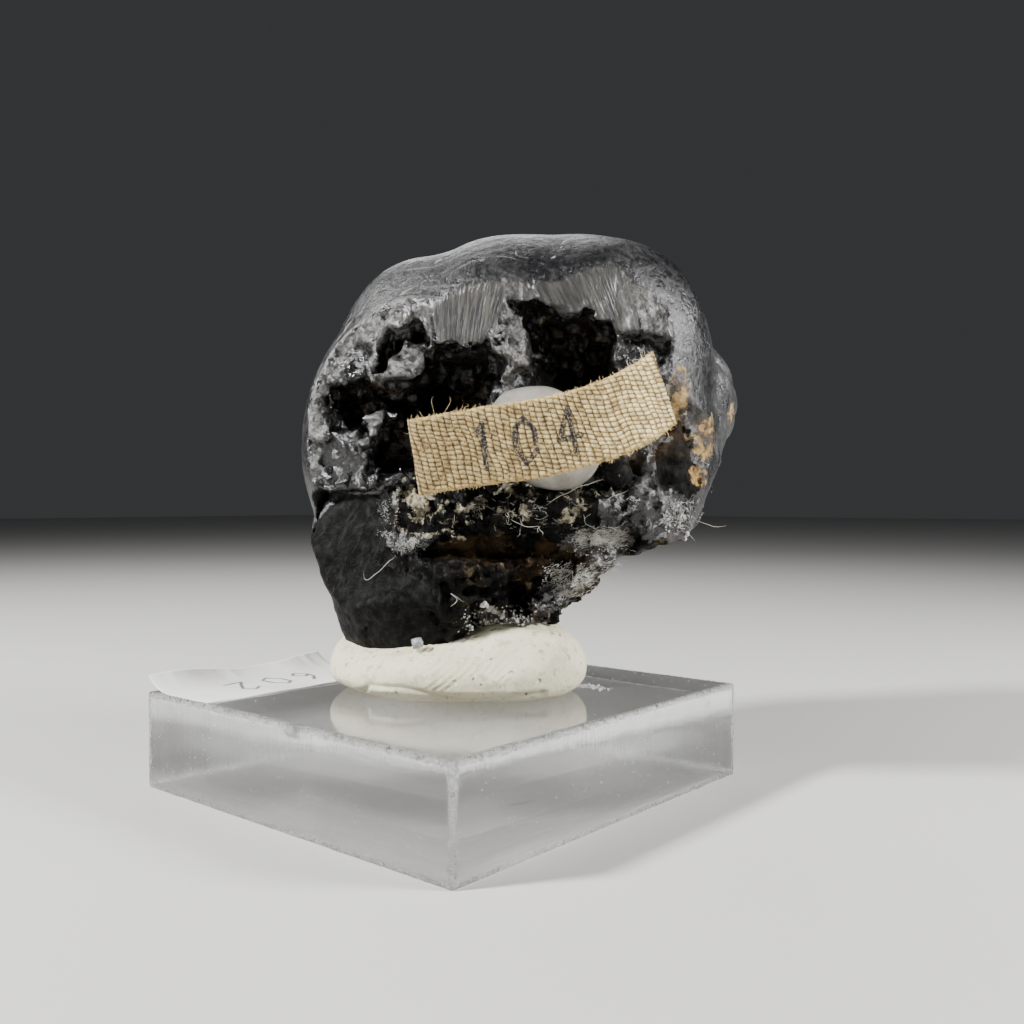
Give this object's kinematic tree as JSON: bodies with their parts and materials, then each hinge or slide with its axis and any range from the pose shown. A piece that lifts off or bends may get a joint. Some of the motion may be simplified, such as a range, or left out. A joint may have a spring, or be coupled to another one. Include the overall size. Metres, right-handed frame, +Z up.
{
  "type": "cassiterite specimen on a display block",
  "caption": "Black rounded cassiterite nodule broken open on one side, stuck by a putty lump on a clear square block, with a cloth strip glued to the broken side and a paper sticker.",
  "frame": {"origin": "middle of the block's underside, on the surface that it stands on", "axes": "+Z up; X and Y along the block's sides; the broken side of the nodule looks between -Y and +X, 40.6 degrees round from -Y"},
  "size_m": [0.0437, 0.0469, 0.0506],
  "materials": {
    "ore": "black, glossy on the rounded skin, rough and fibrous where broken",
    "putty": "matte cream, pressed by hand",
    "clear_acrylic": "clear and polished on top, saw lines on the sides",
    "cloth": "coarse plain weave, frayed along the edges",
    "glue": "whitish, half clear, set glue",
    "paper": "matte white paper"
  },
  "bodies": {
    "root": {"cassiterite_nodule": "ore", "mounting_putty": "putty", "acrylic_block": "clear_acrylic", "cloth_strip": "cloth", "glue_dab": "glue", "paper_sticker": "paper"}
  },
  "joints": []
}
